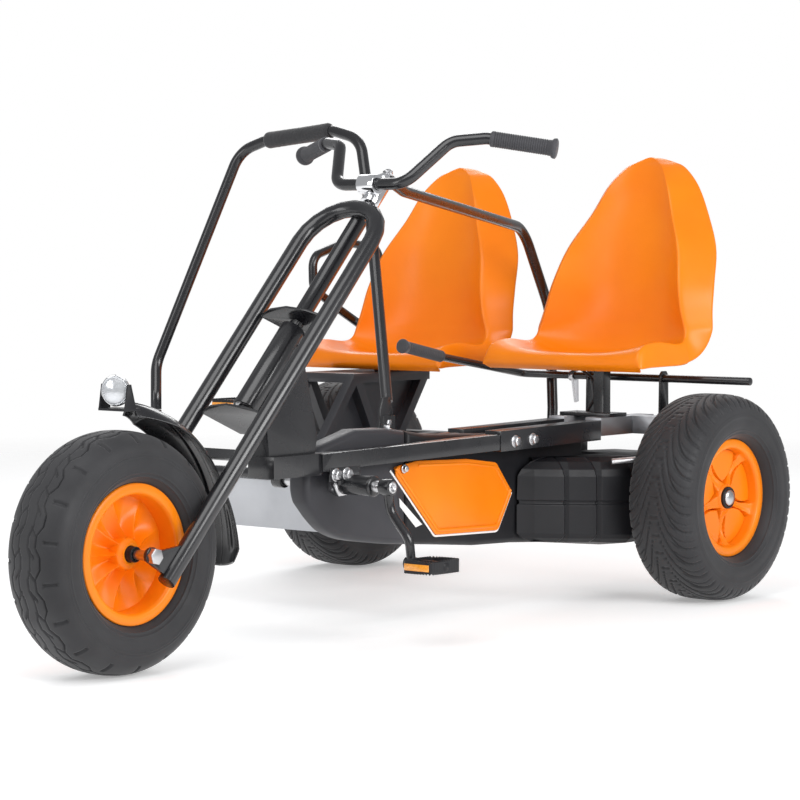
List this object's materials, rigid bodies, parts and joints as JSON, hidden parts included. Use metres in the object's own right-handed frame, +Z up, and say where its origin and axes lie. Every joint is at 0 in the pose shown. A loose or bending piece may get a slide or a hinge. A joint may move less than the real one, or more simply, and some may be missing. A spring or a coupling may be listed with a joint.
{
  "type": "pedal go kart",
  "caption": "Three-wheeled pedal go kart with a raked chopper fork, high handlebar and seats side by side on a railed steel frame.",
  "frame": {"origin": "where the front tyre meets the ground", "axes": "+X towards the front of the kart, +Y to the driver's left, +Z up"},
  "size_m": [2.115, 1.274, 1.0853],
  "materials": {
    "black_steel": "gloss black powder coat",
    "grey_steel": "dark grey powder coat",
    "black_plastic": "moulded black plastic with a fine grain",
    "grey_plastic": "moulded dark grey plastic",
    "orange_plastic": "moulded orange plastic, semi-gloss",
    "tyre_rubber": "pneumatic tyre rubber",
    "grip_rubber": "soft ribbed rubber",
    "foam": "closed-cell foam sleeve",
    "zinc": "bright zinc plating",
    "chrome": "polished chrome",
    "satin_steel": "galvanised, satin",
    "lens": "clear lens over a silvered bowl"
  },
  "bodies": {
    "frame": {"main_frame": "black_steel", "head_bearing_lower": "zinc", "head_bearing_upper": "zinc", "rear_cross_tube": "satin_steel", "right_axle_bracket": "black_steel", "right_stub_axle": "zinc", "passenger_frame": "grey_steel", "driver_seat": "orange_plastic", "passenger_seat": "orange_plastic", "driver_seat_post": "black_steel", "chain": "zinc", "chain_case_front": "grey_plastic", "chain_case_rear": "black_plastic", "side_panel": "orange_plastic", "hub_housing": "black_plastic", "bottom_bracket_nut": "zinc", "footrest_tube": "black_steel", "footrest_plate": "satin_steel", "grab_hoop": "black_steel", "hoop_pad": "foam", "stay_bearing": "chrome", "upper_stay": "black_steel", "armrest_loop": "black_steel", "brake_bracket_inner": "black_steel", "brake_bracket_outer": "black_steel"},
    "steering": {"fork_frame": "black_steel", "left_axle_plate": "black_steel", "right_axle_plate": "black_steel", "front_axle_bolt": "zinc", "front_fender": "black_plastic", "headlamp": "lens", "headlamp_bracket": "black_plastic", "handlebar": "black_steel", "bar_clamp": "chrome", "left_grip": "grip_rubber", "right_grip": "grip_rubber"},
    "front_wheel": {"front_tyre": "tyre_rubber", "front_rim": "orange_plastic", "front_hub": "black_plastic"},
    "left_wheel": {"left_rear_tyre": "tyre_rubber", "left_rear_rim": "orange_plastic", "left_rear_hub": "black_steel", "left_rear_hub_cap": "black_plastic", "left_axle": "zinc"},
    "right_wheel": {"right_rear_tyre": "tyre_rubber", "right_rear_rim": "orange_plastic", "right_rear_hub": "black_steel", "right_rear_hub_cap": "black_plastic"},
    "crank": {"crank_axle": "zinc", "left_crank_arm": "black_steel", "right_crank_arm": "black_steel", "chainring": "zinc", "left_pedal_spindle": "zinc", "right_pedal_spindle": "zinc"},
    "pedal_left": {"left_pedal": "black_plastic"},
    "pedal_right": {"right_pedal": "black_plastic"},
    "sprocket": {"rear_sprocket": "zinc"},
    "brake_lever": {"brake_lever": "black_steel", "brake_arm": "zinc", "brake_grip": "grip_rubber"}
  },
  "joints": [
    {"name": "steering", "type": "hinge", "parent": "frame", "child": "steering", "pos_m": [-0.47502, 0, 0.60743], "axis": [-0.682, 0, 0.7314], "range_deg": [-30, 30]},
    {"name": "front_wheel_spin", "type": "hinge", "parent": "steering", "child": "front_wheel", "pos_m": [0, 0, 0.23], "axis": [0, 1, 0], "continuous": true},
    {"name": "left_wheel_spin", "type": "hinge", "parent": "frame", "child": "left_wheel", "pos_m": [-1.65, 0.25, 0.235], "axis": [0, 1, 0], "continuous": true},
    {"name": "right_wheel_spin", "type": "hinge", "parent": "frame", "child": "right_wheel", "pos_m": [-1.65, -0.83, 0.235], "axis": [0, 1, 0], "continuous": true},
    {"name": "crank_spin", "type": "hinge", "parent": "frame", "child": "crank", "pos_m": [-0.624, 0, 0.319], "axis": [0, 1, 0], "continuous": true},
    {"name": "left_pedal_spin", "type": "hinge", "parent": "crank", "child": "pedal_left", "pos_m": [-0.64557, 0.224, 0.16551], "axis": [0, 1, 0], "continuous": true},
    {"name": "right_pedal_spin", "type": "hinge", "parent": "crank", "child": "pedal_right", "pos_m": [-0.60243, -0.224, 0.47249], "axis": [0, 1, 0], "continuous": true},
    {"name": "sprocket_spin", "type": "hinge", "parent": "frame", "child": "sprocket", "pos_m": [-1.65, -0.025, 0.235], "axis": [0, 1, 0], "continuous": true},
    {"name": "handbrake", "type": "hinge", "parent": "frame", "child": "brake_lever", "pos_m": [-1.64, 0, 0.501], "axis": [0, -1, 0], "range_deg": [0, 25]}
  ],
  "couplings": [
    {"joint": "sprocket_spin", "follows": "crank_spin", "ratio": 1.7778}
  ]
}
